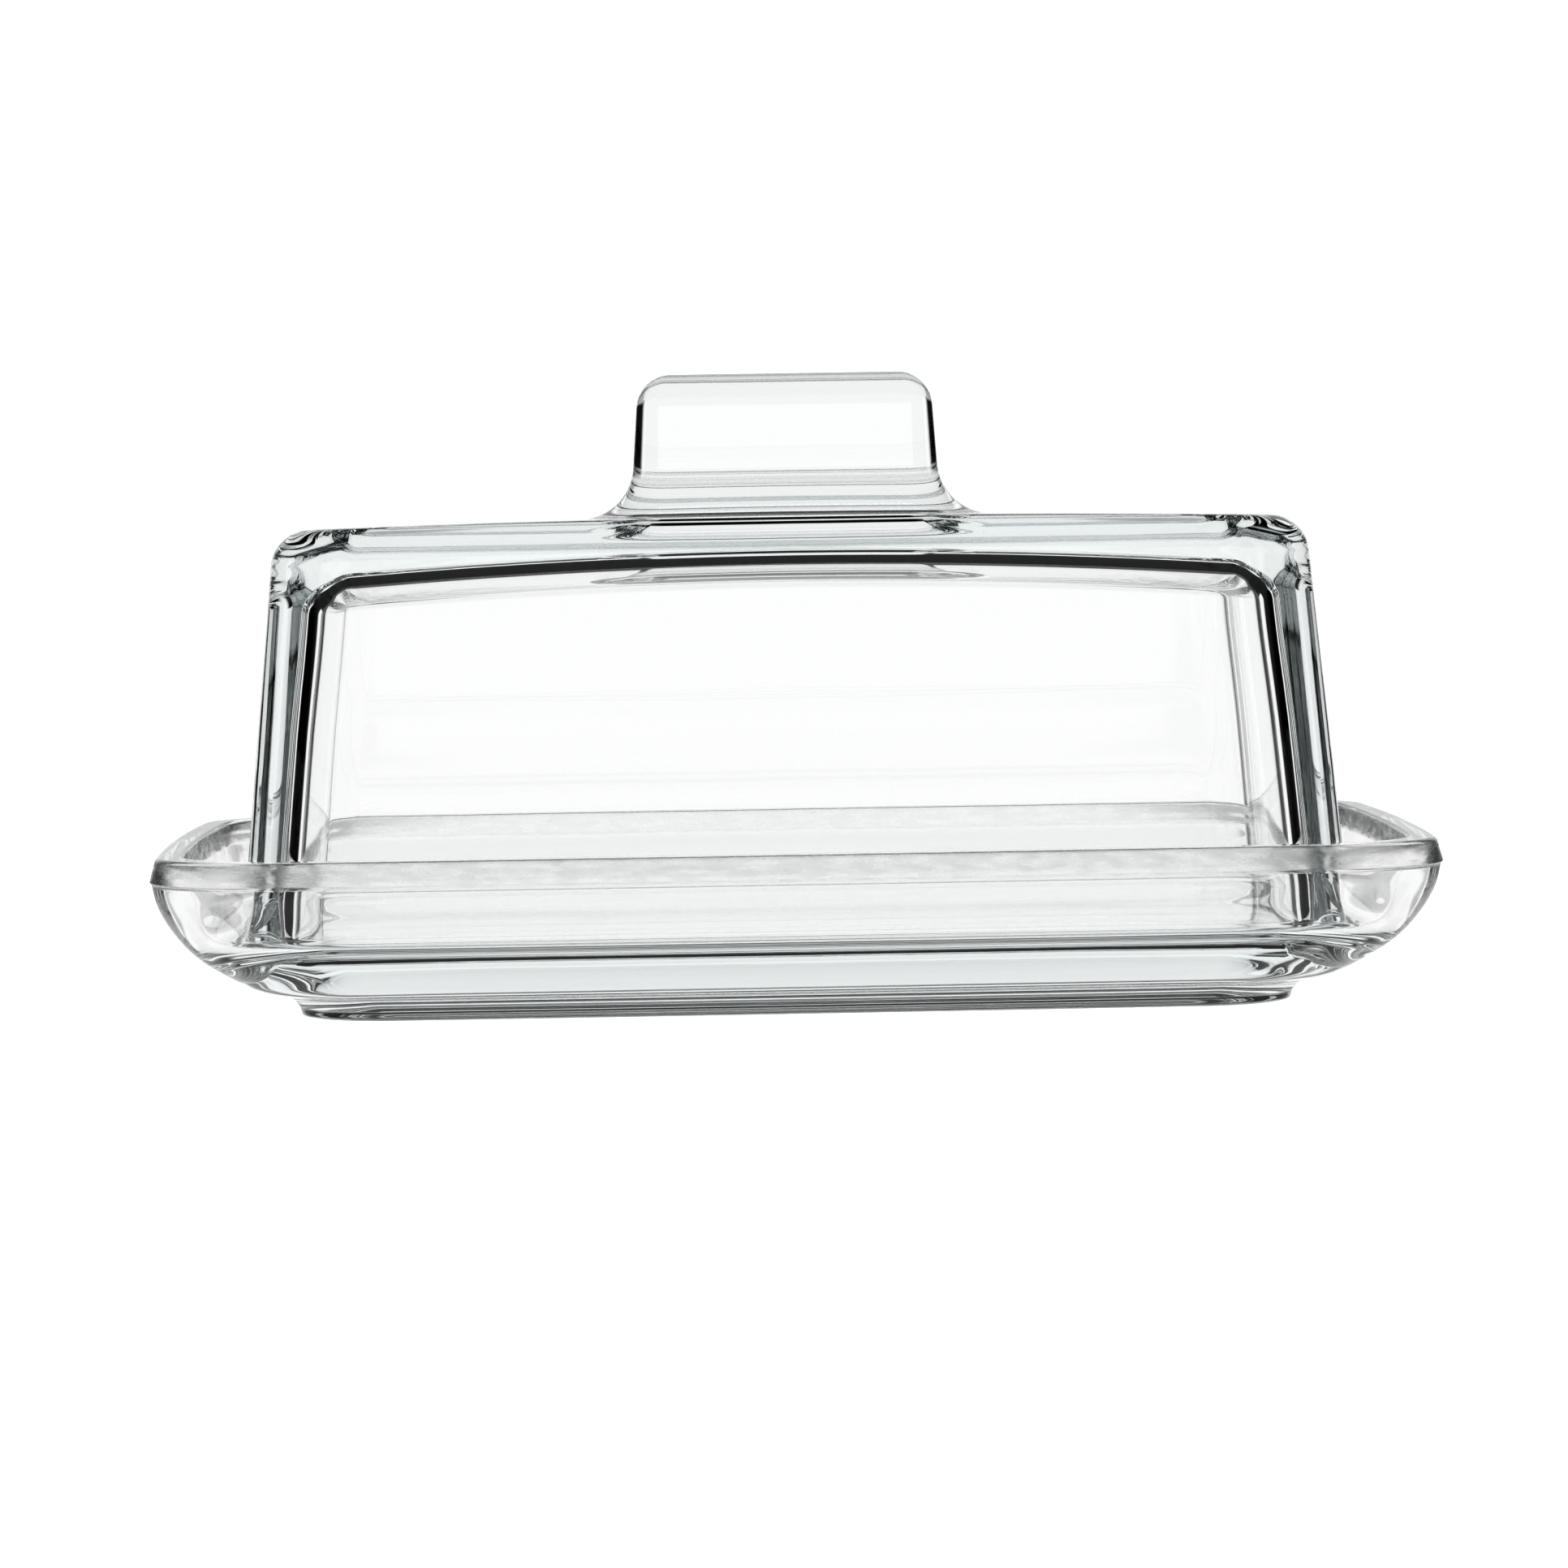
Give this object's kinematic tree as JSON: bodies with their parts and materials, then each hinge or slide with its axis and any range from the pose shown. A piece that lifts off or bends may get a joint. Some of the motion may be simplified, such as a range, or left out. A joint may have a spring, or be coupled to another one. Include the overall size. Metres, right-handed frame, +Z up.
{
  "type": "butter dish",
  "caption": "Clear glass butter dish: a low flared tray with a flat foot and a thick rectangular cover with a bar handle that lifts straight off.",
  "frame": {"origin": "centre of the tray's footprint, on the plane the foot stands on", "axes": "+X along the tray's length and the handle, +Y across to the back, +Z up"},
  "size_m": [0.1916, 0.117, 0.095],
  "materials": {
    "dish_glass": "polished clear pressed glass",
    "lid_glass": "polished clear pressed glass"
  },
  "bodies": {
    "tray": {"dish": "dish_glass"},
    "cover": {"lid": "lid_glass"}
  },
  "joints": [
    {"name": "lid_lift", "type": "slide", "parent": "tray", "child": "cover", "axis": [0, 0, 1], "range_m": [0, 0.12]}
  ]
}
